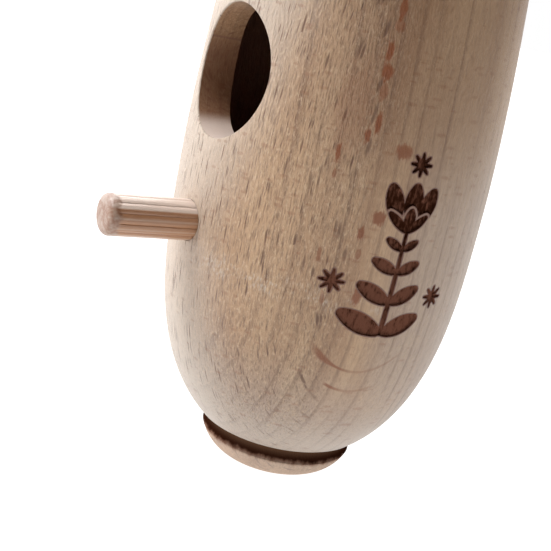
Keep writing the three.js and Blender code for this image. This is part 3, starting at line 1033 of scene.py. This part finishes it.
def mark_engraving(piece):
    """Gives the engraving and groove their charred material, and the bore and the hole's wall their own.

    "engraved" fades from 1 at the outline to 0 on the plain wood round it, as a scorched halo. "pocket"
    grows from 0 at the outline to 1 in the middle of a pocket.
    """
    mesh = piece.data
    places = np.empty(len(mesh.vertices) * 3)
    mesh.vertices.foreach_get("co", places)
    x, y, z = places.reshape(-1, 3).T / MM
    radius = np.hypot(x, y)
    side = (z > SIDE_BOTTOM) & (z < SIDE_TOP) & (radius > BORE_RADIUS + 1)
    outside = body_radius(np.clip(z, SIDE_BOTTOM, SIDE_TOP))
    distance = np.where(side, flower_distance_at(np.arctan2(x, -y), z, outside), FAR)
    for name, values in (
        ("engraved", np.clip(1 - distance / SCORCH_WIDTH, 0, 1)),
        ("pocket", np.clip(-distance / POCKET_MIDDLE, 0, 1)),
    ):
        mesh.attributes.new(name, "FLOAT", "POINT").data.foreach_set("value", values)
    beyond = np.hypot(x / (HOLE_HALF_WIDTH + LIP), (z - HOLE_HEIGHT) / (HOLE_HALF_HEIGHT + LIP))
    in_hole = (beyond < 1.01) & (y < 0)
    for polygon in mesh.polygons:
        corners = list(polygon.vertices)
        if distance[corners].mean() < 0 or z[corners].max() < GROOVE_TOP + 0.02:
            polygon.material_index = CHARRED
        elif radius[corners].max() < BORE_RADIUS + 0.05 and z[corners].min() > BORE_FLOOR - 0.1:
            polygon.material_index = BORE
        elif in_hole[corners].all() and radius[corners].mean() < outside[corners].mean() - LIP:
            polygon.material_index = HOLE_WALL


# ---------- stage ----------

FLOOR_HALF = 30.0  # metres
FLOOR_GLOW = 1.0
ROOM_LIGHT = (2.25, 2.25, 2.3, 1.0)
ROOM_DIM = (0.08, 0.08, 0.08, 1.0)
ROOM_DARK = (0.03, 0.03, 0.03, 1.0)
DARK_AZIMUTH = math.radians(93)  # the room is darkest in this direction
DARK_LIFT = math.radians(10)
# Azimuth and elevation in degrees, distance and size in metres, power in watts
LIGHTS = {
    "key": (-25, 52, 0.6, 0.24, 3.3),
    "back": (-150, 62, 0.7, 0.6, 6.5),
}


def area_light(name, azimuth, elevation, distance, size, power):
    """A soft square light aimed at the body's middle. Azimuth is as for outward()."""
    target = Vector((0, 0, BELLY_HEIGHT * MM))
    level = outward(azimuth) * math.cos(elevation)
    direction = level + Vector((0, 0, math.sin(elevation)))
    data = bpy.data.lights.new(name, "AREA")
    data.size = size
    data.energy = power
    light = bpy.data.objects.new(name, data)
    bpy.context.collection.objects.link(light)
    light.location = target + direction * distance
    light.rotation_euler = direction.to_track_quat("Z", "Y").to_euler()


def make_floor():
    """A wide floor that glows evenly, so no shadow shows on it."""
    corners = np.array([(-1, -1, 0), (1, -1, 0), (1, 1, 0), (-1, 1, 0)]) * FLOOR_HALF / MM
    floor = new_object("floor", corners, [(0, 1, 2, 3)])
    floor.data.materials.append(plain("floor_white", (0.2, 0.2, 0.2, 1), 0.9, glow=FLOOR_GLOW))


def make_world():
    """A room, bright on the left and dim on the right, lights the object. The camera sees plain white."""
    world = bpy.data.worlds.new("world")
    world.use_nodes = True
    tree = world.node_tree
    nodes = Nodes(tree=tree)
    direction = nodes.add("ShaderNodeTexCoord").outputs["Generated"]
    dark_side = outward(DARK_AZIMUTH) * math.cos(DARK_LIFT) + Vector((0, 0, math.sin(DARK_LIFT)))
    facing = nodes.vector("DOT_PRODUCT", direction, tuple(dark_side))
    room = nodes.mix(nodes.ramp(facing, -0.8, 0.25), ROOM_LIGHT, ROOM_DIM)
    room = nodes.mix(nodes.ramp(facing, 0.4, 0.9), room, ROOM_DARK)
    lighting = nodes.add("ShaderNodeBackground", Color=room)
    backdrop = nodes.add("ShaderNodeBackground", Color=(1.0, 1.0, 1.0, 1.0))
    seen = nodes.add("ShaderNodeLightPath").outputs["Is Camera Ray"]
    both = nodes.add("ShaderNodeMixShader", Fac=seen)
    tree.links.new(lighting.outputs[0], both.inputs[1])
    tree.links.new(backdrop.outputs[0], both.inputs[2])
    output = nodes.add("ShaderNodeOutputWorld")
    tree.links.new(both.outputs[0], output.inputs[0])
    bpy.context.scene.world = world


def make_stage():
    make_floor()
    make_world()
    for name, (azimuth, elevation, distance, size, power) in LIGHTS.items():
        area_light(name, math.radians(azimuth), math.radians(elevation), distance, size, power)
    bpy.context.scene.view_settings.view_transform = "Standard"


# ---------- assembly ----------

make_camera()
make_stage()

pieces = {
    "body": (make_body(), "house", "turned_beech"),
    "perch": (make_perch(), "house", "dowel_beech"),
    "roof": (make_roof(), "lid", "turned_beech"),
    "knob": (make_knob(), "lid", "turned_beech"),
}
woods = {
    "body": [body_wood(), charred_wood(), bore_wood(), cut_wood()],
    "perch": [dowel_wood()],
    "roof": [lid_wood("roof_beech", math.radians(20), (40, 30, 0))],
    "knob": [lid_wood("knob_beech", math.radians(120), (-40, 10, 0))],
}
for node, (piece, body, slot) in pieces.items():
    piece.data.materials.clear()
    for material in woods[node]:
        piece.data.materials.append(material)
    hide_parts(node)
    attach(piece, body)
mark_engraving(pieces["body"][0])
